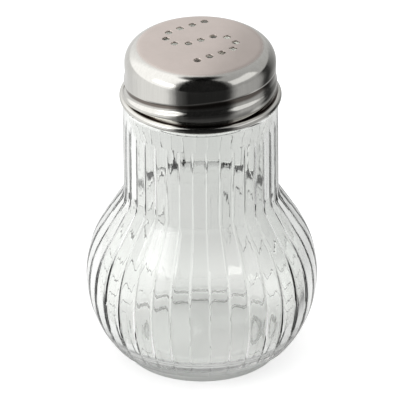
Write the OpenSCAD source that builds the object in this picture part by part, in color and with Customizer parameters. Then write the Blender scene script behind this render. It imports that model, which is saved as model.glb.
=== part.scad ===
// Glass salt shaker with a pressed steel screw cap.
// Millimetres, +Z up, origin at the centre of the base, front of the shaker towards -Y.
// Bearings round the axis are counted from the front, positive towards the right hand side.

/* [Glass bulb] */
// Widest diameter of the bulb
bulb_d = 54; // [50:0.5:60]
// Height of the widest point above the table
bulb_z = 19.6; // [18:0.2:21]
// Radius of the bulb's outline, seen from the side
bulb_arc = 25.5; // [24.5:0.25:26.5]
// Thickness of the glass in the bulb
bulb_wall = 2.8; // [2:0.1:3.6]
// Thickness of the glass in the middle of the base
base_t = 6; // [4:0.25:8]
// Height of the hollow under the base
push_up = 1.2; // [0.6:0.1:2]
// Outer diameter of the foot ring that the shaker stands on
foot_d = 36.4; // [34:0.2:38]
// Height of the foot ring below the bulb
foot_h = 2.4; // [1.6:0.1:3]
// Width of the flat that the shaker stands on
foot_w = 3.2; // [2:0.2:5]
// Radius of the inside corner at the bottom of the hollow
floor_round = 5; // [3:0.5:7]

/* [Glass neck] */
// Diameter of the neck below the cap
neck_d = 36.1; // [34.5:0.1:37]
// Lean of the shoulder from the vertical, in degrees
shoulder_lean = 31.8; // [30:0.2:34]
// Radius of the round where the shoulder meets the neck
shoulder_round = 4; // [2:0.5:6]
// Thickness of the glass in the neck
neck_wall = 2.6; // [2:0.1:3.2]
// Height of the top of the neck, just below the cap's rim
neck_top = 65.4; // [62:0.1:68]
// Radius of the round at the top of the neck
neck_round = 0.8; // [0.4:0.1:1.2]

/* [Ribs] */
// Number of ribs round the glass
rib_count = 36; // [30:1:40]
// Depth of the valleys between the ribs at the widest point
rib_depth = 0.25; // [0.15:0.05:0.4]
// Bearing of one rib's crest, in degrees
rib_turn = -1; // [-5:0.5:5]
// Height of the upper ends of the ribs
rib_high = 61; // [54:0.5:62]
// Length over which a rib fades out at its ends
rib_fade = 1.4; // [0.6:0.1:2]

/* [Glass finish and thread] */
// Height of the finish above the top of the neck
finish_h = 12; // [11.5:0.05:12.5]
// Thickness of the glass in the finish
finish_wall = 2.1; // [1.7:0.1:2.6]
// Radius of the outer edge of the lip
lip_round = 1.2; // [0.6:0.1:1.6]
// Rise of the thread in one full turn
lead = 14; // [12:0.5:16]
// Height of the moulded thread at its root
lug_root = 2.2; // [1.8:0.1:2.4]
// Height of the moulded thread at its crest
lug_crest = 0.9; // [0.7:0.1:1.1]
// Bearing where each moulded thread starts, in degrees
lug_from = -110; // [-120:1:-100]
// Bearing where each moulded thread ends, in degrees
lug_to = -5; // [-40:1:0]

/* [Steel cap] */
// Distance that the cap's wall stands back from the neck
cap_back = 0.45; // [0.3:0.05:0.6]
// Thickness of the steel sheet
sheet = 0.4; // [0.35:0.05:0.45]
// Outer radius of the cap's rounded shoulder
cap_round = 4.3; // [4.1:0.05:4.5]
// Rise of the domed top disc
cap_dome = 0.5; // [0.2:0.05:0.9]
// Radius of the rolled bead at the rim, seen in section
bead_r = 0.82; // [0.75:0.01:0.9]

/* [Rolled thread] */
// Distance that the rolled thread is pressed out of the cap's wall
roll_out = 0.6; // [0.5:0.05:0.7]
// Height of the rolled thread at its root, outside
roll_root = 4.2; // [3.8:0.1:4.4]
// Height of the rolled thread at its crest, outside
roll_crest = 1.4; // [1.2:0.1:1.6]
// Height of the rolled thread's middle above the bead's middle, at the front
roll_z = 4.2; // [4:0.05:4.4]
// Bearing where the rolled thread comes out of the bead, in degrees
roll_from = -143; // [-150:1:-141]
// Bearing where the rolled thread has faded out, in degrees
roll_to = 86; // [80:1:92]
// Angle over which the rolled thread fades out
roll_fade = 67; // [60:1:70]
// Angle over which the rolled thread levels out, from the front on
level_over = 15; // [12:1:20]

/* [Pour holes] */
// Diameter of a pour hole
hole_d = 1.7; // [1.2:0.1:2]
// Distance from hole to hole along the curve
hole_pitch = 3.35; // [3.1:0.05:3.5]
// Number of holes on each side of the middle hole
hole_half = 7; // [5:1:7]
// Radius of the curve's two bends
bend_r = 3.9; // [3.5:0.05:4]
// Half the length of the curve's straight middle
bend_from = 2.65; // [2.2:0.05:3]
// Turn of the whole pattern, in degrees
pattern_turn = 32; // [0:1:90]
// Distance of the pattern's middle from the axis, towards the right
pattern_x = 0.2; // [-1:0.1:1]
// Distance of the pattern's middle from the axis, towards the back
pattern_y = 1.7; // [0:0.1:2.2]

/* [Sealing ring] */
// Thickness of the sealing ring
ring_t = 0.9; // [0.8:0.05:1]
// Width of the sealing ring
ring_w = 1.5; // [1.3:0.05:1.7]
// Distance that the sealing ring reaches in over the mouth
ring_in = 0.5; // [0.2:0.05:0.6]

/* [Clearances] */
// Gap between the finish and the inside of the cap's wall
wall_gap = 0.7; // [0.6:0.05:0.8]
// Gap between the moulded thread's crest and the channel it runs in
crest_gap = 0.3; // [0.25:0.05:0.35]
// Height of the gap between the moulded thread's lower edge and the rolled thread's flank
flank_gap = 0.5; // [0.4:0.05:0.6]
// Gap between the cap's shoulder and the sealing ring's upper edge
seat_gap = 0.15; // [0.1:0.05:0.25]
// Gap between the cap's bead and the top of the neck
rim_gap = 0.38; // [0.3:0.02:0.5]

/* [Hidden] */
$fn = 96;

// The number of starts of the thread
starts = 2;
// Points round one rib, and the depth at each as a share of the valley's
rib_shape = [0, 0.06, 1, 0.06];
rib_pts = len(rib_shape);
// How far the ribbed skin and the threads reach into the plain glass or sheet beside them
lap = 0.3;
skin_step = 0.05;
// A little more than any cut needs, so that cuts pass through cleanly
over = 0.5;

bulb_r = bulb_d / 2;
bulb_c = bulb_r - bulb_arc;
neck_r = neck_d / 2;
cap_r = neck_r - cap_back;
cap_in_r = cap_r - sheet;
finish_r = cap_in_r - wall_gap;
lug_out = wall_gap + roll_out - crest_gap;
mouth_r = finish_r - finish_wall;
lip_z = neck_top + finish_h;

// The bulb's arc runs into the straight shoulder where their slopes agree
tangent_z = bulb_z + bulb_arc * sin(shoulder_lean);
tangent_r = bulb_c + bulb_arc * cos(shoulder_lean);
corner_z = tangent_z + (tangent_r - neck_r) / tan(shoulder_lean);
round_len = shoulder_round * tan(shoulder_lean / 2);

// The cap's shoulder rests over the sealing ring, and its bead stops above the neck
disc_r = cap_r - cap_round;
ring_top = lip_z + ring_t;
ring_in_r = mouth_r - ring_in;
ring_out_r = ring_in_r + ring_w;
round_in = cap_round - sheet;
arc_z = ring_top - sqrt(pow(round_in - seat_gap, 2) - pow(ring_out_r - disc_r, 2));
cap_top = arc_z + cap_round + cap_dome;
bead_z = neck_top + rim_gap + bead_r;
bead_c = cap_in_r + bead_r;

// Height of the rolled thread's middle at a bearing: it climbs, then levels out
function roll_mid(b) = bead_z + roll_z + lead / 360 * (b < 0 ? b
    : level_over * (1 - exp(-b / level_over)));
// The channel inside the rolled thread is one sheet smaller than its outside
chan_root = roll_root - sheet / 2;
chan_crest = roll_crest - sheet / 2;
// The moulded thread lies in that channel, with its lower outer edge nearest the flank
chan_half = (chan_root + (chan_crest - chan_root) * (finish_r + lug_out - cap_in_r) / roll_out) / 2;
lug_z = bead_z + roll_z - chan_half + flank_gap + lug_crest / 2;

function arc_pts(cx, cz, r, from, to, steps) =
    [for (i = [0 : steps]) let (a = from + (to - from) * i / steps) [cx + r * cos(a), cz + r * sin(a)]];

// Outer radius of the plain glass at a height
function outer_r(z) =
    z < tangent_z ? bulb_c + sqrt(pow(bulb_arc, 2) - pow(z - bulb_z, 2))
    : z < corner_z ? tangent_r - (z - tangent_z) * tan(shoulder_lean)
    : neck_r;
// The same with the round between shoulder and neck added
function glass_r(z) =
    let (low = corner_z - round_len * cos(shoulder_lean), high = corner_z + round_len)
    z <= low || z >= high ? outer_r(z)
    : neck_r + shoulder_round - sqrt(pow(shoulder_round, 2) - pow(high - z, 2));

// A closed solid through equal rings of points, capped at both ends
module rings(stack) {
    n = len(stack[0]);
    m = len(stack);
    polyhedron(
        points = [for (ring = stack) each ring],
        faces = concat(
            [[for (i = [0 : n - 1]) i]],
            [for (k = [0 : m - 2], i = [0 : n - 1]) [k * n + i, (k + 1) * n + i, k * n + (i + 1) % n]],
            [for (k = [0 : m - 2], i = [0 : n - 1])
                [(k + 1) * n + i, (k + 1) * n + (i + 1) % n, k * n + (i + 1) % n]],
            [[for (i = [n - 1 : -1 : 0]) (m - 1) * n + i]]
        ),
        convexity = 6
    );
}

// One level of the ribbed skin, with the valleys cut to a share of their depth
function skin_ring(z, r, share) =
    [for (i = [0 : rib_count * rib_pts - 1])
        let (a = 360 * i / (rib_count * rib_pts) - 90 + rib_turn,
             k = r * (1 - rib_depth / bulb_r * rib_shape[i % rib_pts] * share))
        [k * cos(a), k * sin(a), z]];
// The ribbed skin of the bulb, shoulder and neck, as a solid
module ribbed_skin() {
    bulb_steps = 9;
    low_a = asin((foot_h + rib_fade - bulb_z) / bulb_arc);
    bulb_zs = [for (i = [0 : bulb_steps])
        bulb_z + bulb_arc * sin(low_a + (shoulder_lean - low_a) * i / bulb_steps)];
    neck_low = corner_z - round_len * cos(shoulder_lean);
    neck_high = corner_z + round_len;
    neck_zs = [neck_low, (2 * neck_low + neck_high) / 3, (neck_low + 2 * neck_high) / 3, neck_high];
    edge = 0.5;
    stack = concat(
        [skin_ring(foot_h, outer_r(foot_h + edge) - edge, 0)],
        [skin_ring(foot_h + edge, outer_r(foot_h + edge), 0.4)],
        [for (z = concat(bulb_zs, neck_zs)) skin_ring(z, glass_r(z) - (z < neck_low ? 0 : skin_step), 1)],
        [skin_ring(rib_high - rib_fade, neck_r - skin_step, 1)],
        [skin_ring(rib_high - rib_fade / 3, neck_r - skin_step, 0.6)],
        [skin_ring(rib_high + lap / 2, neck_r - skin_step, 0)],
        [skin_ring(rib_high + 3 * lap, neck_r - 3 * lap, 0)]
    );
    rings(stack);
}

// The ring that the shaker stands on, hollow underneath
module glass_foot() {
    edge = 0.5;
    foot_r = foot_d / 2;
    rotate_extrude() polygon([
        [0, push_up],
        [foot_r - edge - foot_w - 4, push_up],
        [foot_r - edge - foot_w, 0],
        [foot_r - edge, 0],
        [foot_r, edge],
        [foot_r, foot_h + edge],
        [0, foot_h + edge]
    ]);
}

// The plain glass above the ribs: the neck's top, the finish and the lip
module glass_finish() {
    rotate_extrude() polygon(concat(
        [[0, rib_high], [neck_r, rib_high]],
        arc_pts(neck_r - neck_round, neck_top - neck_round, neck_round, 0, 90, 5),
        [[finish_r, neck_top]],
        arc_pts(finish_r - lip_round, lip_z - lip_round, lip_round, 0, 90, 6),
        [[0, lip_z]]
    ));
}

// The hollow inside the glass, open at the mouth
module glass_hollow() {
    in_arc = bulb_arc - bulb_wall;
    in_neck = neck_r - neck_wall;
    in_tangent_z = bulb_z + in_arc * sin(shoulder_lean);
    in_tangent_r = bulb_c + in_arc * cos(shoulder_lean);
    in_corner_z = in_tangent_z + (in_tangent_r - in_neck) / tan(shoulder_lean);
    // The floor's round touches the floor and, from inside, the bulb's inner arc
    round_z = base_t + floor_round;
    round_c = bulb_c + sqrt(pow(in_arc - floor_round, 2) - pow(round_z - bulb_z, 2));
    touch_a = atan2(round_z - bulb_z, round_c - bulb_c);
    rotate_extrude() polygon(concat(
        [[0, base_t]],
        arc_pts(round_c, round_z, floor_round, -90, touch_a, 5),
        arc_pts(bulb_c, bulb_z, in_arc, touch_a + 8, shoulder_lean, 7),
        [[in_neck, in_corner_z], [in_neck, neck_top - neck_round - 1]],
        [[mouth_r, neck_top + 1], [mouth_r, lip_z + over], [0, lip_z + over]]
    ));
}

// A bar swept round the axis. Each step holds its bearing, its middle height, the inner radius
// with the bar's height there, and the outer radius with the bar's height there.
module swept(steps) {
    rings([for (s = steps)
        let (a = s[0] - 90, z = s[1], r0 = s[2], h0 = s[3] / 2, r1 = s[4], h1 = s[5] / 2)
        [for (p = [[r0, z - h0], [r0, z + h0], [r1, z + h1], [r1, z - h1]])
            [p[0] * cos(a), p[0] * sin(a), p[1]]]]);
}
// The share of its full size that a thread has at a bearing, below nothing at its very ends
function grown(b, from, to, fade_in, fade_out) =
    b <= from || b >= to ? -0.5 : max(0.15, min(1, (b - from) / fade_in, (to - b) / fade_out));

// One moulded thread on the finish
module lug() {
    count = round((lug_to - lug_from) / 7.5);
    fade = 20;
    flank = (lug_root - lug_crest) / lug_out;
    swept([for (i = [0 : count])
        let (b = lug_from + (lug_to - lug_from) * i / count,
             g = grown(b, lug_from, lug_to, fade, fade),
             h = lug_crest + flank * lug_out * g)
        [b, lug_z + lead * b / 360,
            finish_r - lap, h + flank * lap,
            finish_r + lug_out * g, lug_crest]]);
}

module glass_jar() {
    color([0.80, 0.86, 0.84, 0.55]) difference() {
        union() {
            glass_foot();
            ribbed_skin();
            glass_finish();
            for (i = [0 : starts - 1]) rotate([0, 0, 360 / starts * i]) lug();
        }
        glass_hollow();
    }
}

module sealing_ring() {
    color([0.93, 0.93, 0.90]) translate([0, 0, lip_z]) difference() {
        cylinder(r = ring_out_r, h = ring_t);
        translate([0, 0, -over]) cylinder(r = ring_in_r, h = ring_t + 2 * over);
    }
}

// One start of the rolled thread: a bar at a radius and out of it, for the ridge or its channel
module rolled(from, r, root, crest) {
    flank = (root - crest) / roll_out;
    count = round((roll_to - from) / 7.5);
    swept([for (i = [0 : count])
        let (b = from + (roll_to - from) * i / count,
             g = grown(b, from - 100, roll_to, 1, roll_fade),
             h = crest + flank * roll_out * g)
        [b, roll_mid(b), r - lap, h + flank * lap, r + roll_out * g, crest]]);
}
module roll_ridge() {
    intersection() {
        rolled(roll_from, cap_r, roll_root, roll_crest);
        translate([0, 0, bead_z]) cylinder(r = cap_r + 2, h = cap_top - bead_z);
    }
}
// The channel goes on down through the bead, so that the moulded thread can leave it
module roll_channel() {
    rolled(-175, cap_in_r, chan_root, chan_crest);
}

// The steel sheet in section: top disc, shoulder and wall
module cap_section() {
    dome_r = (disc_r * disc_r + cap_dome * cap_dome) / (2 * cap_dome);
    dome_a = asin(disc_r / dome_r);
    dome_c = cap_top - dome_r;
    polygon(concat(
        arc_pts(0, dome_c, dome_r, 90, 90 - dome_a, 4),
        arc_pts(disc_r, arc_z, cap_round, 80, 0, 8),
        [[cap_r, bead_z], [cap_in_r, bead_z]],
        arc_pts(disc_r, arc_z, round_in, 0, 80, 8),
        arc_pts(0, dome_c, dome_r - sheet, 90 - dome_a, 90, 4)
    ));
}
// The bead, which the rolled edge closes into a round wire
module cap_bead() {
    rotate_extrude() translate([bead_c, bead_z]) circle(r = bead_r, $fn = 24);
}

// Place along the curve of holes: a straight middle, a half circle and a straight arm
function curve_at(s) =
    let (t = abs(s), bend = PI * bend_r, a = (t - bend_from) / bend_r * 180 / PI,
         p = t < bend_from ? [t, 0]
             : t < bend_from + bend ? [bend_from + bend_r * sin(a), bend_r * cos(a) - bend_r]
             : [bend_from - (t - bend_from - bend), -2 * bend_r])
    s < 0 ? -p : p;
module pour_holes() {
    translate([pattern_x, pattern_y, 0]) rotate([0, 0, pattern_turn])
        for (i = [-hole_half : hole_half])
            translate([curve_at(i * hole_pitch)[0], curve_at(i * hole_pitch)[1], arc_z])
                cylinder(d = hole_d, h = cap_top - arc_z + over, $fn = 32);
}

module screw_cap() {
    color([0.72, 0.70, 0.67]) difference() {
        union() {
            rotate_extrude() cap_section();
            cap_bead();
            for (i = [0 : starts - 1]) rotate([0, 0, 360 / starts * i]) roll_ridge();
        }
        for (i = [0 : starts - 1]) rotate([0, 0, 360 / starts * i]) roll_channel();
        pour_holes();
    }
}

glass_jar();
sealing_ring();
screw_cap();
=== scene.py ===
import bpy
import bmesh
import math
from mathutils import Matrix, Vector


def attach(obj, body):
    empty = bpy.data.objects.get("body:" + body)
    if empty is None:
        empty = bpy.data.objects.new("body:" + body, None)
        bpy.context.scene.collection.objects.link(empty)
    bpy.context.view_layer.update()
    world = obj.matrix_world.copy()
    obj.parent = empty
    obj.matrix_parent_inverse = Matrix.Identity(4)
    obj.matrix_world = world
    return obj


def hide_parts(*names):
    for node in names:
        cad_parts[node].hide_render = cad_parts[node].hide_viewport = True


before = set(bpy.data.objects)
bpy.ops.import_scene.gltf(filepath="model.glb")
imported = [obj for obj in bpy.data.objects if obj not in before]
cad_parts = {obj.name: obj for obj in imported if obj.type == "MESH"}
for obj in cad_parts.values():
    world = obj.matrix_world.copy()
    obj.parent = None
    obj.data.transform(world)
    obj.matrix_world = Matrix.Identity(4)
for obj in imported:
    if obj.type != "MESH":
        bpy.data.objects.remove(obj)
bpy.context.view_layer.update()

# Lengths below are in millimetres and are scaled to metres as they are used. Angles are in degrees.
MM = 0.001


# Camera

# The picture's width in pixels, and how many of them a millimetre takes up at the shaker
PICTURE, PIXELS_PER_MM = 400.0, 4.29
# Which way the camera looks, and the point in the middle of its picture
LOOK_DOWN, ROLL = 28.8, -0.45
AIM = (-0.30, 0.0, 38.6)


def set_camera():
    """The photograph's view: a long lens far in front of the shaker, looking down at it."""
    away, sensor = 2500.0, 36.0
    down = math.radians(LOOK_DOWN)
    back = Vector((0.0, -math.cos(down), math.sin(down)))
    camera = bpy.data.objects.new("photo_camera", bpy.data.cameras.new("photo_camera"))
    bpy.context.scene.collection.objects.link(camera)
    camera.location = (Vector(AIM) + back * away) * MM
    turn = (-back).to_track_quat("-Z", "Y").to_euler()
    turn.rotate_axis("Z", math.radians(ROLL))
    camera.rotation_euler = turn
    camera.data.sensor_width = sensor
    camera.data.lens = sensor * PIXELS_PER_MM * away / PICTURE
    camera.data.clip_start = 100 * MM
    camera.data.clip_end = 20000 * MM
    bpy.context.scene.camera = camera


# Hand tools

def pick(piece):
    """Selects one piece alone."""
    bpy.ops.object.select_all(action="DESELECT")
    piece.select_set(True)
    bpy.context.view_layer.objects.active = piece


def edit(piece):
    pick(piece)
    bpy.ops.object.mode_set(mode="EDIT")


def leave():
    bpy.ops.object.mode_set(mode="OBJECT")


def apply_all(piece):
    pick(piece)
    for modifier in list(piece.modifiers):
        bpy.ops.object.modifier_apply(modifier=modifier.name)


def settle(piece):
    """Puts the piece's place and size into its mesh, so that the object sits at the origin."""
    pick(piece)
    bpy.ops.object.transform_apply(location=True, rotation=True, scale=True)


def smooth(piece, degrees):
    pick(piece)
    bpy.ops.object.shade_smooth_by_angle(angle=math.radians(degrees))


def first_ring(name, count, r, z):
    """A ring of points to raise a round wall from, left open in edit mode."""
    bpy.ops.object.select_all(action="DESELECT")
    bpy.ops.mesh.primitive_circle_add(
        vertices=count, radius=r * MM, fill_type="NOTHING", location=(0, 0, 0)
    )
    piece = bpy.context.active_object
    piece.name = piece.data.name = name
    edit(piece)
    bpy.ops.mesh.select_all(action="SELECT")
    bpy.ops.transform.translate(value=(0, 0, z * MM))
    return piece


def next_ring(was, r, z):
    """Extrudes the selected ring to a new radius and height."""
    bpy.ops.mesh.extrude_region_move(
        TRANSFORM_OT_translate={"value": (0, 0, (z - was[1]) * MM)}
    )
    bpy.ops.transform.resize(
        value=(r / was[0], r / was[0], 1), center_override=(0, 0, z * MM)
    )
    return (r, z)


def pick_open_edge(piece, within=math.inf):
    """Selects the open edge that lies within a distance from the axis."""
    bpy.ops.mesh.select_all(action="DESELECT")
    mesh = bmesh.from_edit_mesh(piece.data)
    for edge in mesh.edges:
        if edge.is_boundary and max(v.co.to_2d().length for v in edge.verts) < within * MM:
            edge.select_set(True)
    bmesh.update_edit_mesh(piece.data)


def close_pole():
    """Pulls the selected ring together on the axis."""
    bpy.ops.mesh.extrude_region_move(TRANSFORM_OT_translate={"value": (0, 0, 0)})
    bpy.ops.mesh.merge(type="CENTER")


def clean():
    """Merges doubles and turns all faces outwards."""
    bpy.ops.mesh.select_all(action="SELECT")
    bpy.ops.mesh.remove_doubles(threshold=0.0005 * MM)
    bpy.ops.mesh.normals_make_consistent(inside=False)


def arc(cx, cz, r, start, end, steps):
    """(radius, height) of the points of an arc between two angles in degrees."""
    out = []
    for i in range(steps + 1):
        a = math.radians(start + (end - start) * i / steps)
        out.append((cx + r * math.cos(a), cz + r * math.sin(a)))
    return out


def bearing(x, y):
    """Degrees round the axis from the front, positive to the right."""
    return math.degrees(math.atan2(x, -y))


def ease(low, high, share):
    """Runs smoothly from low to high while the share goes from 0 to 1."""
    return low + (high - low) * (0.5 - 0.5 * math.cos(math.pi * max(0.0, min(1.0, share))))


# Sizes shared by the pieces

BULB_R, BULB_Z, BULB_ARC, LEAN = 27.0, 19.6, 25.5, 31.8
BULB_C = BULB_R - BULB_ARC
NECK_R, NECK_TOP, LIP_Z, FINISH_R, MOUTH_R = 18.05, 65.4, 77.4, 16.5, 14.4
CAP_R, SHEET, BEAD_R, BEAD_Z = 17.6, 0.4, 0.82, 66.6
WALL_MID = CAP_R - SHEET / 2
CAP_TOP, CAP_ROUND, DOME = 79.993, 4.3, 0.5
ARC_Z = CAP_TOP - CAP_ROUND - DOME
DISC_R = CAP_R - CAP_ROUND
DOME_R = (DISC_R ** 2 + DOME ** 2) / (2 * DOME)
LEAD, STARTS = 14.0, 2


# The glass

RIBS, PER_RIB, RIB_TURN = 36, 12, -1.0
RIB_DEPTH = 0.24 / BULB_R
# A valley's share of the depth and its half width in rib widths. The crowned bands have the rest.
CUT_SHARE, CUT_HALF = 0.78, 0.09
# Where the columns of points stand, from a valley to the next crest, in rib widths
COLUMNS = (0.0, 0.022, 0.045, 0.07, 0.11, 0.25, 0.5)
# Room that the ribbed outside leaves under its full size
HAIR = 0.02
NECK_BEND, INNER_BEND = 4.0, 9.0
BULB_WALL, NECK_IN, FLOOR_Z, FLOOR_ROUND = 2.8, 15.45, 6.0, 5.0


def rib_place(x, y):
    """Place round the glass in ribs: a whole number is a valley, and a half is a crest."""
    return (bearing(x, y) - RIB_TURN) / (360 / RIBS) + 0.5


def rib_share(place):
    """Depth across a rib: a narrow valley between broad bands that are a little crowned."""
    off = abs(place - round(place))
    cut = max(0.0, 1 - off / CUT_HALF) ** 1.4
    return CUT_SHARE * cut + (1 - CUT_SHARE) * (1 - 2 * off) ** 2


def gather(mesh):
    """Moves the columns of points close together at the valleys."""
    for v in mesh.verts:
        rib, column = divmod(round(rib_place(v.co.x, v.co.y) * PER_RIB), PER_RIB)
        share = COLUMNS[column] if column <= PER_RIB // 2 else 1 - COLUMNS[PER_RIB - column]
        a = math.radians((rib + share - 0.5) * 360 / RIBS + RIB_TURN)
        r = v.co.to_2d().length
        v.co.x, v.co.y = r * math.sin(a), -r * math.cos(a)


def flute(glass, was, now):
    """Deepens or fills the valleys of the selected ring."""
    mesh = bmesh.from_edit_mesh(glass.data)
    for v in mesh.verts:
        if v.select:
            deep = RIB_DEPTH * rib_share(rib_place(v.co.x, v.co.y))
            k = (1 - deep * now) / (1 - deep * was)
            v.co.x *= k
            v.co.y *= k
    bmesh.update_edit_mesh(glass.data)


def plain(points):
    """The same points with no ribs at them."""
    return [(r, z, 0) for r, z in points]


def foot_outline():
    """From the hollow underside, round the foot ring, to where the ribs begin."""
    hollow = [(4.0, 1.2), (12.9, 1.2), (13.4, 1.14), (13.75, 0.95), (14.1, 0.45), (14.3, 0.12)]
    rest = [(14.5, 0.02), (15.0, 0.0), (17.2, 0.0), (17.6, 0.03), (17.9, 0.14), (18.1, 0.34)]
    side = [(18.2, 0.6), (18.2, 1.9), (18.26, 2.2), (18.42, 2.38), (18.7, 2.44), (19.5, 2.44)]
    begin = [(19.95, 2.5, 0.05), (20.3, 2.68, 0.2), (20.55, 2.95, 0.5)]
    return plain(hollow + rest + side) + begin


def body_outline():
    """The ribbed outside: the bulb, the cone, the bend and the neck up to where the ribs end."""
    lean = math.radians(LEAN)
    cone_z = BULB_Z + BULB_ARC * math.sin(lean)
    cone_r = BULB_C + BULB_ARC * math.cos(lean)
    corner_z = cone_z + (cone_r - NECK_R) / math.tan(lean)
    reach = NECK_BEND * math.tan(lean / 2)
    bulb_low = math.degrees(math.asin((3.3 - BULB_Z) / BULB_ARC))
    bulb = arc(BULB_C, BULB_Z, BULB_ARC, bulb_low, LEAN, 36)
    path = [(r - HAIR / 2, z, min(1, 0.75 + 0.12 * i)) for i, (r, z) in enumerate(bulb)]
    for share in (0.33, 0.66):
        rise = (corner_z - reach * math.cos(lean) - cone_z) * share
        path.append((cone_r - rise * math.tan(lean), cone_z + rise, 1))
    bend = arc(NECK_R + NECK_BEND, corner_z + reach, NECK_BEND, 180 + LEAN, 180, 9)
    path += [(r - HAIR, z, 1) for r, z in bend]
    neck = [(48, 1), (54, 1), (59.2, 1)]
    ends = [(59.8, 0.97), (60.2, 0.88), (60.55, 0.7), (60.8, 0.48), (61.0, 0.2), (61.12, 0.0)]
    return path + [(NECK_R - HAIR, z, deep) for z, deep in neck + ends]


def finish_outline():
    """The top of the neck, the finish that carries the thread, and the lip."""
    shoulder, corner, outer_lip, inner_lip = 0.8, 0.3, 1.2, 0.35
    path = [(NECK_R, 61.3), (NECK_R, 63.9)]
    path += arc(NECK_R - shoulder, NECK_TOP - shoulder, shoulder, 0, 90, 8)
    path += arc(FINISH_R + corner, NECK_TOP + corner, corner, 270, 180, 4)
    path += [(FINISH_R, 65.3 + 0.7 * i) for i in range(1, 16)]
    path += arc(FINISH_R - outer_lip, LIP_Z - outer_lip, outer_lip, 0, 90, 10)
    path += arc(MOUTH_R + inner_lip, LIP_Z - inner_lip, inner_lip, 90, 180, 5)
    return plain(path)


def inside_outline():
    """Down the mouth and the neck, round the bulb, to the floor."""
    lean = math.radians(LEAN)
    inner = BULB_ARC - BULB_WALL
    cone_z = BULB_Z + inner * math.sin(lean)
    cone_r = BULB_C + inner * math.cos(lean)
    corner_z = cone_z + (cone_r - NECK_IN) / math.tan(lean)
    reach = INNER_BEND * math.tan(lean / 2)
    round_z = FLOOR_Z + FLOOR_ROUND
    round_r = BULB_C + math.sqrt((inner - FLOOR_ROUND) ** 2 - (round_z - BULB_Z) ** 2)
    touch = math.degrees(math.atan2(round_z - BULB_Z, round_r - BULB_C))
    path = [(MOUTH_R, 72), (MOUTH_R, 66.6), (14.5, 65.7), (14.8, 64.7), (15.15, 63.6)]
    path += [(15.4, 62.4), (NECK_IN, 60.5), (NECK_IN, 54), (NECK_IN, 47)]
    path += arc(NECK_IN + INNER_BEND, corner_z + reach, INNER_BEND, 180, 180 + LEAN, 8)
    path += arc(BULB_C, BULB_Z, inner, LEAN, touch, 26)
    path += arc(round_r, round_z, FLOOR_ROUND, touch, -90, 12)[1:]
    path += [(13, FLOOR_Z), (8, FLOOR_Z), (3, FLOOR_Z)]
    return plain(path)


def raise_glass():
    """Raises the glass ring by ring, from (radius, height, how deep the ribs are) points."""
    path = foot_outline() + body_outline() + finish_outline() + inside_outline()
    glass = first_ring("ribbed_glass", RIBS * PER_RIB, path[0][0], path[0][1])
    mesh = bmesh.from_edit_mesh(glass.data)
    turn = Matrix.Rotation(math.radians(RIB_TURN), 3, "Z")
    bmesh.ops.rotate(mesh, verts=mesh.verts, cent=(0, 0, 0), matrix=turn)
    gather(mesh)
    bmesh.update_edit_mesh(glass.data)
    was, depth = path[0][:2], 0.0
    for r, z, deep in path[1:]:
        was = next_ring(was, r, z)
        if deep != depth:
            flute(glass, depth, deep)
            depth = deep
    close_pole()
    pick_open_edge(glass)
    close_pole()
    clean()
    leave()
    return glass


# Bearings where a bar of the glass thread starts and stops, and over how much it fades there
BAR_FROM, BAR_TO, BAR_FADE, BAR_STEPS = -110.0, -5.0, 20, 54
# Height of a bar where it would pass the front, its reach out of the wall, and how flat it is
BAR_Z, BAR_R, BAR_FLAT = 70.45, 1.0, 0.80


def fade_bar(mesh):
    """Sinks both ends of a bar into the wall, narrows them and lifts the bar to its height."""
    wall = FINISH_R * MM
    for v in mesh.verts:
        a = math.degrees(math.atan2(v.co.y, v.co.x)) % 360
        a = 0.0 if a > 300 else a
        full = max(0.0, min(1.0, a / BAR_FADE, (BAR_TO - BAR_FROM - a) / BAR_FADE)) ** 0.5
        r = math.hypot(v.co.x, v.co.y)
        out = r - wall
        if out > 0:
            out *= full * 1.25 - 0.25
        v.co.x *= (wall + out) / r
        v.co.y *= (wall + out) / r
        middle = LEAD * a / 360 * MM
        v.co.z = middle + (v.co.z - middle) * (0.55 + 0.45 * full)
        v.co.z += (BAR_Z + LEAD * BAR_FROM / 360) * MM


def mould_thread(turn):
    """One bar of the glass thread: a rounded ridge swept up a helix, fading at both ends."""
    bpy.ops.object.select_all(action="DESELECT")
    bpy.ops.mesh.primitive_circle_add(vertices=14, radius=BAR_R * MM, fill_type="NOTHING")
    bar = bpy.context.active_object
    bar.name = bar.data.name = "thread_bar"
    edit(bar)
    bpy.ops.mesh.select_all(action="SELECT")
    bpy.ops.transform.rotate(value=math.radians(90), orient_axis="X", center_override=(0, 0, 0))
    bpy.ops.transform.resize(value=(1.0, 1.0, BAR_FLAT), center_override=(0, 0, 0))
    bpy.ops.transform.translate(value=((FINISH_R - HAIR) * MM, 0, 0))
    leave()
    sweep = bar.modifiers.new("sweep", "SCREW")
    sweep.axis = "Z"
    sweep.angle = math.radians(BAR_TO - BAR_FROM)
    sweep.screw_offset = LEAD * (BAR_TO - BAR_FROM) / 360 * MM
    sweep.steps = sweep.render_steps = BAR_STEPS
    sweep.use_merge_vertices = False
    apply_all(bar)
    edit(bar)
    mesh = bmesh.from_edit_mesh(bar.data)
    fade_bar(mesh)
    ends = [e for e in mesh.edges if e.is_boundary]
    bmesh.ops.holes_fill(mesh, edges=ends, sides=0)
    bmesh.update_edit_mesh(bar.data)
    bpy.ops.mesh.select_all(action="SELECT")
    bpy.ops.transform.rotate(
        value=-math.radians(BAR_FROM - 90 + turn), orient_axis="Z", center_override=(0, 0, 0)
    )
    clean()
    leave()
    return bar


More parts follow.
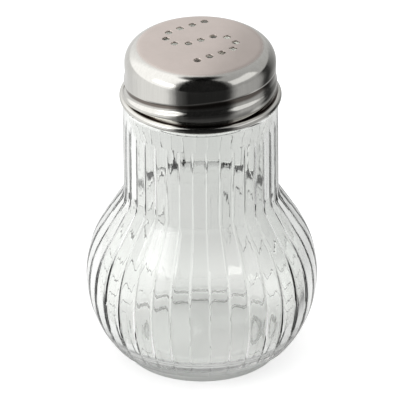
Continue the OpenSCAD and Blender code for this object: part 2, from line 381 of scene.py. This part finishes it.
def blow_glass():
    glass = raise_glass()
    for k in range(STARTS):
        bar = mould_thread(360 / STARTS * k)
        join = glass.modifiers.new("thread", "BOOLEAN")
        join.operation = "UNION"
        join.solver = "EXACT"
        join.object = bar
        apply_all(glass)
        bpy.data.objects.remove(bar)
    settle(glass)
    smooth(glass, 60)
    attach(glass, "glass_jar")
    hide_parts("glass_jar")
    return glass


# The steel cap

AROUND = 360
# Height of the rolled thread's middle at the front, and over how many degrees its climb dies out
ROLL_Z, LEVEL_OVER = BEAD_Z + 4.2, 15
# How far the thread stands out and its groove goes in, and how far the ledge sags at the right
ROLL_OUT, GROOVE_IN, SAG = 0.6, 0.25, 0.6
# Bearings where the thread starts and stops, and over how much it fades at the second
ROLL_FROM, ROLL_TO, ROLL_FADE = -175, 112, 72
# The part of the wall that is pressed, below the shoulder and out to the bead
PRESS_TOP, PRESS_LOW, PRESS_IN, PRESS_OUT = 75.1, BEAD_Z - 0.75, 17.2, 18.0
# A point belongs to the wall, and not to the bead, up to this far outside the wall's middle
WALL_NEAR = 0.05
# The pour holes: their width, the way from one to the next, and how many follow the middle one
HOLE_D, HOLE_PITCH, HOLES_A_SIDE = 1.7, 3.35, 7
# The radius of the pattern's bends, where they begin, and how all of it is turned and shifted
BEND_R, BEND_FROM = 3.9, 2.65
PATTERN_TURN, PATTERN_X, PATTERN_Y = 32, 0.2, 1.7
# A punch's length before it widens, and how far its middle stands under the top of the sheet
PUNCH_LONG, PUNCH_SUNK = 2, 1.13
# How a punch widens towards the top of the sheet, as steps up and outwards
FLARE = ((0.07, 1.02), (0.06, 1.05), (0.05, 1.10))
DENTS = [
    # bearing, height, how wide, how deep, how much taller than wide
    (34, 76.4, 0.45, 0.05, 0.7),
    (-56, 76.2, 0.5, 0.04, 0.5),
    (63, 71.9, 0.6, 0.05, 1.0),
    (-38, 69.3, 0.5, 0.03, 1.0),
    (17, 70.9, 0.5, 0.03, 1.0),
]


def cap_outline():
    """The middle of the steel sheet, from the top disc down the wall and round the bead."""
    pole, rim, rings, step, gap = 0.5, 0.25, 28, 0.16, 0.05
    path = []
    for i in range(1, rings + 1):
        r = pole + (DISC_R - pole - rim) * i / rings
        path.append((r, CAP_TOP - DOME_R + math.sqrt((DOME_R - SHEET / 2) ** 2 - r ** 2)))
    path += arc(DISC_R, ARC_Z, CAP_ROUND - SHEET / 2, 84, 0, 22)
    z = ARC_Z - step
    while z > BEAD_Z + gap:
        path.append((WALL_MID, z))
        z -= step
    path += arc(CAP_R - SHEET + BEAD_R, BEAD_Z, BEAD_R - SHEET / 2, 180, 474, 21)
    return path


def roll_mid(b):
    """Height of the rolled thread's middle: it climbs out of the bead, then levels out."""
    climb = b if b < 0 else LEVEL_OVER * (1 - math.exp(-b / LEVEL_OVER))
    return ROLL_Z + LEAD / 360 * climb


def ridge(rise, foot, sag):
    """How far the wall stands out at a height over a thread's middle: from the top a shallow
    groove, a ledge that the sag lowers, and a long flank that falls back to the bead's crease."""
    groove, brim, crest = 2.0, 1.05, -0.25
    if rise > groove:
        return ease(-GROOVE_IN, 0.0, (rise - groove) / 0.9)
    rise += sag
    if rise > brim:
        return ease(-0.1, -GROOVE_IN, (rise - brim) / (groove - brim + sag))
    if rise > crest:
        return ease(ROLL_OUT, -0.1, (rise - crest) / (brim - crest))
    return ease(ROLL_OUT, 0.04, (crest - rise) / (max(1.2, foot) + crest - sag))


def stand_out(b, z):
    """How far the two starts together push the wall out at a bearing and a height."""
    out = 0.0
    for k in range(STARTS):
        turn = (b + 360 / STARTS * k + 180) % 360 - 180
        rise = z - roll_mid(turn)
        foot = roll_mid(turn) - BEAD_Z - 0.9
        if ROLL_FROM < turn < ROLL_TO and -max(1.3, foot) < rise < 3.2:
            fade = min(1.0, (ROLL_TO - turn) / ROLL_FADE)
            out += fade * ridge(rise, foot, ease(0.0, SAG, (turn + 20) / 40))
    return min(ROLL_OUT, out)


def press_thread(cap):
    """Presses the rolled thread out of the wall, and keeps the bead's inner side clear of it."""
    for v in cap.data.vertices:
        r = math.hypot(v.co.x, v.co.y) / MM
        z = v.co.z / MM
        if PRESS_LOW <= z <= PRESS_TOP and PRESS_IN <= r <= PRESS_OUT:
            out = stand_out(bearing(v.co.x, v.co.y), z)
            now = r + out if r < WALL_MID + WALL_NEAR else max(r, WALL_MID + out)
            v.co.x *= now / r
            v.co.y *= now / r


def dent(cap):
    """A few small knocks, as on any pressed cap that has been handled."""
    for v in cap.data.vertices:
        r = math.hypot(v.co.x, v.co.y) / MM
        if r < 15:
            continue
        z, b = v.co.z / MM, bearing(v.co.x, v.co.y)
        for at, high, wide, deep, tall in DENTS:
            along = math.radians(b - at) * r / wide
            up = (z - high) / (wide * tall)
            d = along * along + up * up
            if d < 6:
                k = 1 - deep * math.exp(-d) / r
                v.co.x *= k
                v.co.y *= k


def hole_places():
    """The pour holes' places in plan: a straight middle, a half circle and an arm, both ways."""
    places = []
    turn = math.radians(PATTERN_TURN)
    bend = math.pi * BEND_R
    for i in range(-HOLES_A_SIDE, HOLES_A_SIDE + 1):
        s = abs(i) * HOLE_PITCH
        if s < BEND_FROM:
            x, y = s, 0.0
        elif s < BEND_FROM + bend:
            a = (s - BEND_FROM) / BEND_R
            x, y = BEND_FROM + BEND_R * math.sin(a), BEND_R * math.cos(a) - BEND_R
        else:
            x, y = BEND_FROM - (s - BEND_FROM - bend), -2 * BEND_R
        if i < 0:
            x, y = -x, -y
        places.append((
            x * math.cos(turn) - y * math.sin(turn) + PATTERN_X,
            x * math.sin(turn) + y * math.cos(turn) + PATTERN_Y,
        ))
    return places


def make_punch(x, y):
    """The punch for one pour hole, flared at the top so that the hole's edge is drawn in."""
    top = CAP_TOP - DOME_R + math.sqrt(DOME_R ** 2 - x * x - y * y)
    bpy.ops.object.select_all(action="DESELECT")
    bpy.ops.mesh.primitive_cylinder_add(
        vertices=40, radius=HOLE_D / 2 * MM, depth=PUNCH_LONG * MM,
        location=(x * MM, y * MM, (top - PUNCH_SUNK) * MM),
    )
    tool = bpy.context.active_object
    edit(tool)
    bpy.ops.mesh.select_all(action="DESELECT")
    mesh = bmesh.from_edit_mesh(tool.data)
    for face in mesh.faces:
        face.select_set(face.normal.z > 0.9)
    bmesh.update_edit_mesh(tool.data)
    for rise, wide in FLARE:
        bpy.ops.mesh.extrude_region_move(TRANSFORM_OT_translate={"value": (0, 0, rise * MM)})
        bpy.ops.transform.resize(
            value=(wide, wide, 1), center_override=(x * MM, y * MM, top * MM)
        )
    leave()
    return tool


def punch(cap):
    """Cuts the pour holes with one punch each."""
    punches = [make_punch(x, y) for x, y in hole_places()]
    bpy.ops.object.select_all(action="DESELECT")
    for tool in punches:
        tool.select_set(True)
    bpy.context.view_layer.objects.active = punches[0]
    bpy.ops.object.join()
    cut = cap.modifiers.new("holes", "BOOLEAN")
    cut.operation = "DIFFERENCE"
    cut.solver = "EXACT"
    cut.object = punches[0]
    apply_all(cap)
    bpy.data.objects.remove(punches[0])


def press_cap():
    path = cap_outline()
    cap = first_ring("steel_cap", AROUND, path[0][0], path[0][1])
    was = path[0]
    for r, z in path[1:]:
        was = next_ring(was, r, z)
    pick_open_edge(cap, 2)
    close_pole()
    clean()
    leave()
    press_thread(cap)
    dent(cap)
    thick = cap.modifiers.new("sheet", "SOLIDIFY")
    thick.thickness = SHEET * MM
    thick.offset = 0
    thick.use_even_offset = True
    apply_all(cap)
    edit(cap)
    clean()
    leave()
    punch(cap)
    settle(cap)
    smooth(cap, 32)
    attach(cap, "screw_cap")
    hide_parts("screw_cap")
    return cap


# The sealing ring

RING_IN, RING_OUT, RING_THICK = 13.9, 15.4, 0.9


def cut_ring():
    low, high = LIP_Z, LIP_Z + RING_THICK
    ring = first_ring("sealing_washer", 120, RING_IN, low)
    was = (RING_IN, low)
    for r, z in ((RING_IN, high), (RING_OUT, high), (RING_OUT, low), (RING_IN, low)):
        was = next_ring(was, r, z)
    clean()
    leave()
    edge = ring.modifiers.new("edge", "BEVEL")
    edge.width = 0.15 * MM
    edge.segments = 3
    edge.limit_method = "ANGLE"
    apply_all(ring)
    settle(ring)
    smooth(ring, 40)
    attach(ring, "sealing_ring")
    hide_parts("sealing_ring")
    return ring


# Node tools, which take and give sockets

def feed(tree, value, socket):
    """Gives a socket a plain value, or links another node's output to it."""
    if isinstance(value, bpy.types.NodeSocket):
        tree.links.new(value, socket)
    else:
        socket.default_value = value


def maths(tree, kind, a, b=0.0):
    node = tree.nodes.new("ShaderNodeMath")
    node.operation = kind
    feed(tree, a, node.inputs[0])
    feed(tree, b, node.inputs[1])
    return node.outputs[0]


def times(tree, a, b):
    return maths(tree, "MULTIPLY", a, b)


def from_axis(tree, place):
    """Distance of a place from the upright axis."""
    flat = tree.nodes.new("ShaderNodeVectorMath")
    flat.operation = "MULTIPLY"
    flat.inputs[1].default_value = (1, 1, 0)
    feed(tree, place, flat.inputs[0])
    node = tree.nodes.new("ShaderNodeVectorMath")
    node.operation = "LENGTH"
    feed(tree, flat.outputs[0], node.inputs[0])
    return node.outputs["Value"]


def split(tree, place):
    node = tree.nodes.new("ShaderNodeSeparateXYZ")
    feed(tree, place, node.inputs[0])
    return node.outputs


def spread(tree, value, low, high, to_low, to_high):
    """Runs smoothly from one value to another while the given value goes from low to high."""
    node = tree.nodes.new("ShaderNodeMapRange")
    node.interpolation_type = "SMOOTHSTEP"
    names = ("Value", "From Min", "From Max", "To Min", "To Max")
    for name, given in zip(names, (value, low, high, to_low, to_high)):
        feed(tree, given, node.inputs[name])
    return node.outputs["Result"]


def between(tree, value, bounds, to_low, to_high):
    """The same for a length, with its two bounds in millimetres."""
    return spread(tree, value, bounds[0] * MM, bounds[1] * MM, to_low, to_high)


def mix_values(tree, share, low, high):
    node = tree.nodes.new("ShaderNodeMix")
    node.data_type = "FLOAT"
    for i, value in ((0, share), (2, low), (3, high)):
        feed(tree, value, node.inputs[i])
    return node.outputs[0]


def mix_colours(tree, share, low, high):
    node = tree.nodes.new("ShaderNodeMix")
    node.data_type = "RGBA"
    for i, value in ((0, share), (6, low), (7, high)):
        feed(tree, (*value, 1) if isinstance(value, tuple) else value, node.inputs[i])
    return node.outputs[2]


def bump(tree, shader, height, strength, distance):
    node = tree.nodes.new("ShaderNodeBump")
    for name, value in (("Strength", strength), ("Distance", distance * MM), ("Height", height)):
        feed(tree, value, node.inputs[name])
    feed(tree, node.outputs["Normal"], shader.inputs["Normal"])


def curve(tree, value, stops):
    """A value that runs straight from stop to stop, which are pairs of place and value."""
    node = tree.nodes.new("ShaderNodeValToRGB")
    node.color_ramp.interpolation = "LINEAR"
    marks = node.color_ramp.elements
    while len(marks) < len(stops):
        marks.new(0.5)
    for mark, (at, level) in zip(marks, stops):
        mark.position = at
        mark.color = (level / 2, level / 2, level / 2, 1)
    feed(tree, value, node.inputs[0])
    return times(tree, node.outputs[0], 2.0)


def new_group(name, inputs, outputs):
    """A node group with one place input, the given number inputs and number outputs."""
    group = bpy.data.node_groups.new(name, "ShaderNodeTree")
    face = group.interface
    face.new_socket(name="Place", in_out="INPUT", socket_type="NodeSocketVector")
    for key, value in inputs:
        socket = face.new_socket(name=key, in_out="INPUT", socket_type="NodeSocketFloat")
        socket.default_value = value
    for key in outputs:
        face.new_socket(name=key, in_out="OUTPUT", socket_type="NodeSocketFloat")
    start, end = group.nodes.new("NodeGroupInput"), group.nodes.new("NodeGroupOutput")
    return group, start.outputs, end.inputs


def place_group(tree, group, place, values=()):
    """Puts a group into a tree, at a place and with its own values."""
    node = tree.nodes.new("ShaderNodeGroup")
    node.node_tree = group
    feed(tree, place, node.inputs["Place"])
    for key, value in values:
        node.inputs[key].default_value = value
    return node.outputs


# Finishes

# Where a finish or its painted shade begins and ends to change, as heights and as distances from
# the axis
STIPPLE_Z, SATIN_Z, SHADE_AT = (3.0, 7.0), (79.1, 79.4), (1.0, 12.0)
CREASE_Z, CREASE_R = (67.4, 68.3), (17.8, 18.1)
GROOVE_Z, GROOVE_R, OUTSIDE_R = (75.0, 75.4), (17.40, 17.52), (17.27, 17.31)
INSIDE_Z, INSIDE_R = (79.1, 79.3), (12.8, 13.2)


def speckle_group():
    """Fine uneven speckle, for dust, handling and the tooth of a surface."""
    inputs = (("Size", 400.0), ("Stretch", 1.0), ("Low", 0.4), ("High", 0.6))
    group, given, end = new_group("surface_speckle", inputs, ("Mask", "Height"))
    combine = group.nodes.new("ShaderNodeCombineXYZ")
    combine.inputs[0].default_value = combine.inputs[1].default_value = 1.0
    feed(group, given["Stretch"], combine.inputs[2])
    scale = group.nodes.new("ShaderNodeVectorMath")
    scale.operation = "MULTIPLY"
    feed(group, given["Place"], scale.inputs[0])
    feed(group, combine.outputs[0], scale.inputs[1])
    noise = group.nodes.new("ShaderNodeTexNoise")
    noise.inputs["Detail"].default_value = 4.0
    noise.inputs["Roughness"].default_value = 0.6
    feed(group, scale.outputs[0], noise.inputs["Vector"])
    feed(group, given["Size"], noise.inputs["Scale"])
    mask = spread(group, noise.outputs["Fac"], given["Low"], given["High"], 0.0, 1.0)
    feed(group, mask, end["Mask"])
    feed(group, noise.outputs["Fac"], end["Height"])
    return group


def speckle(tree, group, place, size, stretch=1.0, low=0.4, high=0.6):
    values = (("Size", size), ("Stretch", stretch), ("Low", low), ("High", high))
    return place_group(tree, group, place, values)


def new_material(name):
    material = bpy.data.materials.new(name)
    material.use_nodes = True
    tree = material.node_tree
    place = tree.nodes.new("ShaderNodeTexCoord").outputs["Object"]
    return material, tree, tree.nodes["Principled BSDF"], place


def glass_finish(group):
    material, tree, shader, place = new_material("clear_moulded_glass")
    shader.inputs["Transmission Weight"].default_value = 1.0
    shader.inputs["Metallic"].default_value = 0.0
    shader.inputs["IOR"].default_value = 1.5
    cloud = speckle(tree, group, place, 60.0, 0.6, 0.35, 0.7)["Mask"]
    tint = mix_colours(tree, cloud, (0.955, 0.97, 0.95), (0.98, 0.985, 0.97))
    feed(tree, tint, shader.inputs["Base Color"])
    dust = speckle(tree, group, place, 900.0, 1.0, 0.62, 0.78)["Mask"]
    rough = spread(tree, dust, 0, 1, 0.015, 0.09)
    # The underside and the foot are stippled
    frost = between(tree, split(tree, place)["Z"], STIPPLE_Z, 0.50, 0.0)
    feed(tree, maths(tree, "MAXIMUM", rough, frost), shader.inputs["Roughness"])
    bump(tree, shader, speckle(tree, group, place, 130.0, 0.35)["Height"], 0.12, 0.4)
    return material


def steel_colour(tree, place, satin, streak, cloud):
    """The steel's colour: satin on top with painted shade at the front and right, polished down the
    wall, dark brown at the bead's crease, painted shade in the thread's groove, and a dull inside.
    """
    x, y, z = split(tree, place)
    away = from_axis(tree, place)
    polished = mix_colours(tree, streak, (0.675, 0.665, 0.63), (0.72, 0.71, 0.675))
    matt = mix_colours(tree, cloud, (0.68, 0.60, 0.555), (0.735, 0.65, 0.605))
    # Painted shade: the top's satin colour is a little darker towards the front and the right
    aside = maths(tree, "ADD", times(tree, y, -0.35), x)
    shade = between(tree, aside, SHADE_AT, 0.0, 0.2)
    # The satin colour mixed towards black by the painted shade
    matt_with_painted_shade = mix_colours(tree, shade, matt, (0.0, 0.0, 0.0))
    skin = mix_colours(tree, satin, polished, matt_with_painted_shade)
    # Dark brown where the bead closes on the wall
    low = between(tree, z, CREASE_Z, 1.0, 0.0)
    inner = between(tree, away, CREASE_R, 1.0, 0.0)
    crease = times(tree, low, inner)
    # and painted shade, in the same dark brown, in the groove over the thread, on the outer side of
    # the sheet
    deep = between(tree, away, GROOVE_R, 0.85, 0.0)
    outer = between(tree, away, OUTSIDE_R, 0.0, 1.0)
    below = between(tree, z, GROOVE_Z, 1.0, 0.0)
    groove = times(tree, times(tree, deep, outer), below)
    # The crease's dark brown and the groove's painted shade, laid over the skin together
    crease_dark_and_painted_groove_shade = maths(tree, "MAXIMUM", crease, groove)
    skin = mix_colours(tree, crease_dark_and_painted_groove_shade, skin, (0.10, 0.075, 0.06))
    # The inside of the cap was never polished
    under = between(tree, z, INSIDE_Z, 1.0, 0.0)
    within = between(tree, away, INSIDE_R, 1.0, 0.0)
    return mix_colours(tree, times(tree, under, within), skin, (0.50, 0.47, 0.44))


def steel_finish(group):
    material, tree, shader, place = new_material("pressed_stainless_steel")
    shader.inputs["Metallic"].default_value = 1.0
    satin = between(tree, split(tree, place)["Z"], SATIN_Z, 0.0, 1.0)
    streak = speckle(tree, group, place, 1500.0, 0.03, 0.35, 0.68)
    cloud = speckle(tree, group, place, 160.0, 0.7, 0.3, 0.7)
    colour = steel_colour(tree, place, satin, streak["Mask"], cloud["Mask"])
    feed(tree, colour, shader.inputs["Base Color"])
    gloss = spread(tree, streak["Mask"], 0, 1, 0.07, 0.12)
    tooth = spread(tree, cloud["Mask"], 0, 1, 0.30, 0.36)
    feed(tree, mix_values(tree, satin, gloss, tooth), shader.inputs["Roughness"])
    peel = speckle(tree, group, place, 350.0, 0.6)["Height"]
    height = maths(tree, "ADD", times(tree, streak["Height"], 0.25), peel)
    bump(tree, shader, height, 0.06, 0.3)
    return material


def seal_finish(group):
    material, tree, shader, place = new_material("soft_white_plastic")
    cloud = speckle(tree, group, place, 300.0, 1.0, 0.3, 0.7)
    tint = mix_colours(tree, cloud["Mask"], (0.80, 0.80, 0.77), (0.88, 0.88, 0.86))
    feed(tree, tint, shader.inputs["Base Color"])
    rough = spread(tree, cloud["Mask"], 0, 1, 0.42, 0.55)
    feed(tree, rough, shader.inputs["Roughness"])
    bump(tree, shader, cloud["Height"], 0.1, 0.2)
    return material


def dress(piece, material):
    piece.data.materials.clear()
    piece.data.materials.append(material)


# Room, floor and lamp

# How bright the room is at a bearing round the shaker, in degrees from the front: low down,
# higher up, overhead, and as seen through the glass, which sends rays round to the sides
ROOM = {
    "Low": [
        (-180, 0.80), (-142, 0.80), (-123, 0.80), (-97, 0.96), (-60, 1.0), (-50, 0.95),
        (-41, 0.50), (-33, 0.12), (-17, 0.02), (36, 0.02), (42, 0.05), (48, 0.22), (55, 0.42),
        (61, 0.46), (92, 0.42), (100, 0.30), (106, 0.10), (112, 0.04), (119, 0.04), (130, 0.17),
        (152, 0.42), (170, 0.60), (180, 0.80),
    ],
    "High": [
        (-180, 0.78), (-170, 0.86), (-142, 1.05), (-125, 1.35), (-60, 1.35), (-45, 1.20),
        (-38, 0.30), (-31, 0.01), (40, 0.01), (46, 0.12), (54, 0.38), (92, 0.40), (101, 0.24),
        (107, 0.05), (113, 0.03), (119, 0.04), (130, 0.17), (146, 0.38), (158, 0.56),
        (180, 0.78),
    ],
    "Top": [
        (-180, 0.82), (-160, 0.92), (-142, 1.10), (-125, 1.35), (-60, 1.35), (-45, 1.20),
        (-38, 0.30), (-31, 0.01), (40, 0.01), (46, 0.12), (54, 0.42), (125, 0.50), (150, 0.54),
        (168, 0.58), (180, 0.82),
    ],
    "Through": [
        (-180, 0.68), (-165, 0.80), (-150, 1.00), (-130, 1.10), (-60, 1.10), (-40, 0.90),
        (-20, 0.70), (25, 0.70), (45, 0.75), (76, 0.75), (84, 0.30), (90, 0.05), (104, 0.05),
        (108, 0.68), (114, 0.90), (122, 0.78), (135, 0.80), (145, 0.90), (152, 0.68),
        (180, 0.68),
    ],
}
# Where the two soft boxes stand: bearing of the middle, half width and soft edge, in degrees
BOXES = {"Right Box": (76, 22, 6), "Left Box": (-58, 9, 14)}
# Heights in the room, as the sine of the angle above the floor: where one level passes into the
# next, where the dark ceiling begins, and each box's lower and upper edge, with its brightness
TO_HIGH, TO_TOP, TO_CEILING = (0.02, 0.12), (0.19, 0.29), (0.94, 0.99)
BOX_HEIGHTS = {
    "Right Box": ((0.30, 0.43), (0.68, 0.78), 0.5),
    "Left Box": ((0.24, 0.38), (0.48, 0.62), 1.9),
}
# Where the floor passes from near to far: in what is mirrored, seen through the glass, and behind
FAR_MIRRORED, FAR_THROUGH, BEHIND_Y = (50, 120), (28, 55), (-10, 20)
# How bright the floor is to the camera, and to steel and glass that mirror it behind the shaker
FLOOR_SEEN, FLOOR_BEHIND = 0.52, 0.95
# Near, in front and under the glass, it has a base and a share of the room's brightness
FRONT_BASE, FRONT_SHARE = 0.05, 0.3
UNDER_BASE, UNDER_SHARE, UNDER_LEAST = 0.40, 0.41, 0.62


def room_group():
    """The room by bearing: a big white panel to the left, a greyer one to the right, a wide dark
    gap in front, where the camera stands, and a narrow one behind to the right."""
    group, given, end = new_group("room_by_bearing", (), (*ROOM, *BOXES))
    x, y = split(group, given["Place"])[:2]
    angle = maths(group, "ARCTAN2", x, times(group, y, -1.0))
    share = maths(group, "ADD", times(group, angle, 1 / (2 * math.pi)), 0.5)
    for name, stops in ROOM.items():
        level = curve(group, share, [(at / 360 + 0.5, value) for at, value in stops])
        feed(group, level, end[name])
    for name, (middle, half, soft) in BOXES.items():
        off = maths(group, "ABSOLUTE", maths(group, "SUBTRACT", angle, math.radians(middle)))
        box = spread(group, off, math.radians(half), math.radians(half + soft), 1.0, 0.0)
        feed(group, box, end[name])
    return group


def floor_glow(tree, group, place, path):
    """What the floor gives off: white to the camera, and the room's light and dark sides to the
    steel and glass that mirror it or look through to it."""
    away = from_axis(tree, place)
    far = between(tree, away, FAR_MIRRORED, 0.0, 1.0)
    beyond = between(tree, away, FAR_THROUGH, 0.0, 1.0)
    room = place_group(tree, group, place)
    white = times(tree, path["Is Camera Ray"], FLOOR_SEEN)
    close = maths(tree, "ADD", times(tree, room["Low"], FRONT_SHARE), FRONT_BASE)
    # Behind the shaker the glass's own edges mirror the floor, and it is bright there
    behind = between(tree, split(tree, place)["Y"], BEHIND_Y, 0.0, 1.0)
    close = mix_values(tree, behind, close, FLOOR_BEHIND)
    shine = maths(tree, "SUBTRACT", path["Is Glossy Ray"], path["Is Transmission Ray"])
    shine = maths(tree, "MAXIMUM", shine, 0.0)
    mirrored = times(tree, mix_values(tree, far, close, room["Low"]), shine)
    under = times(tree, maths(tree, "MAXIMUM", room["Through"], UNDER_LEAST), UNDER_SHARE)
    under = maths(tree, "ADD", under, UNDER_BASE)
    seen = mix_values(tree, beyond, under, room["Through"])
    seen = times(tree, seen, path["Is Transmission Ray"])
    total = maths(tree, "ADD", maths(tree, "ADD", white, mirrored), seen)
    # To those rays the floor's own pale colour is gone, or they would see it twice
    gone = times(tree, path["Is Transmission Ray"], mix_values(tree, beyond, 0.7, 1.0))
    return total, maths(tree, "MAXIMUM", gone, shine)


def lay_floor(group):
    """A pale floor that keeps the shaker's shadow and looks white to the camera."""
    bpy.ops.object.select_all(action="DESELECT")
    bpy.ops.mesh.primitive_plane_add(size=30000 * MM, location=(0, 0, -0.05 * MM))
    floor = bpy.context.active_object
    floor.name = "floor"
    material = bpy.data.materials.new("pale_floor")
    material.use_nodes = True
    tree = material.node_tree
    tree.nodes.clear()
    end = tree.nodes.new("ShaderNodeOutputMaterial")
    add = tree.nodes.new("ShaderNodeAddShader")
    diffuse = tree.nodes.new("ShaderNodeBsdfDiffuse")
    glow = tree.nodes.new("ShaderNodeEmission")
    place = tree.nodes.new("ShaderNodeTexCoord").outputs["Object"]
    path = tree.nodes.new("ShaderNodeLightPath").outputs
    total, gone = floor_glow(tree, group, place, path)
    feed(tree, total, glow.inputs["Strength"])
    tint = mix_colours(tree, gone, (0.75, 0.75, 0.75), (0.0, 0.0, 0.0))
    feed(tree, tint, diffuse.inputs["Color"])
    feed(tree, diffuse.outputs[0], add.inputs[0])
    feed(tree, glow.outputs[0], add.inputs[1])
    feed(tree, add.outputs[0], end.inputs[0])
    dress(floor, material)


def soft_box(tree, room, height, name):
    """A bright patch of the room, with soft edges upwards as well as by bearing."""
    low, high, bright = BOX_HEIGHTS[name]
    begin = spread(tree, height, *low, 0.0, bright)
    end = spread(tree, height, *high, 1.0, 0.0)
    return times(tree, times(tree, begin, end), room[name])


def set_world(group):
    """The room that steel and glass mirror, with a dark ceiling. The camera sees plain white."""
    world = bpy.data.worlds.new("room")
    bpy.context.scene.world = world
    world.use_nodes = True
    tree = world.node_tree
    tree.nodes.clear()
    end = tree.nodes.new("ShaderNodeOutputWorld")
    back = tree.nodes.new("ShaderNodeBackground")
    place = tree.nodes.new("ShaderNodeTexCoord").outputs["Generated"]
    path = tree.nodes.new("ShaderNodeLightPath").outputs
    room = place_group(tree, group, place)
    height = split(tree, place)["Z"]
    up = spread(tree, height, *TO_HIGH, 0.0, 1.0)
    level = mix_values(tree, up, room["Low"], room["High"])
    up = spread(tree, height, *TO_TOP, 0.0, 1.0)
    level = mix_values(tree, up, level, room["Top"])
    level = maths(tree, "ADD", level, soft_box(tree, room, height, "Right Box"))
    level = times(tree, level, spread(tree, height, *TO_CEILING, 1.0, 0.02))
    level = maths(tree, "ADD", level, soft_box(tree, room, height, "Left Box"))
    plain_white = mix_values(tree, path["Is Camera Ray"], 0.9, 1.0)
    level = mix_values(tree, path["Is Glossy Ray"], plain_white, level)
    level = mix_values(tree, path["Is Transmission Ray"], level, room["Through"])
    back.inputs["Color"].default_value = (1, 1, 1, 1)
    feed(tree, level, back.inputs["Strength"])
    feed(tree, back.outputs[0], end.inputs[0])


def hang_lamp():
    """The box lamp at the left that throws the shadow. The room's panels stand in for it in
    what the steel and glass mirror."""
    place, aim = Vector((-435, -293, 330)), Vector((0, 0, 40))
    lamp = bpy.data.lights.new("left_box", "AREA")
    lamp.shape = "RECTANGLE"
    lamp.size, lamp.size_y = 420 * MM, 200 * MM
    lamp.energy = 0.8
    holder = bpy.data.objects.new("left_box", lamp)
    bpy.context.scene.collection.objects.link(holder)
    holder.location = place * MM
    holder.rotation_euler = (aim - place).to_track_quat("-Z", "Y").to_euler()
    holder.visible_glossy = False


# Build

bpy.ops.object.select_all(action="DESELECT")
bpy.context.scene.view_settings.view_transform = "Standard"
set_camera()
room_by_bearing = room_group()
set_world(room_by_bearing)
lay_floor(room_by_bearing)
hang_lamp()
glass = blow_glass()
cap = press_cap()
ring = cut_ring()
speckles = speckle_group()
dress(glass, glass_finish(speckles))
dress(cap, steel_finish(speckles))
dress(ring, seal_finish(speckles))
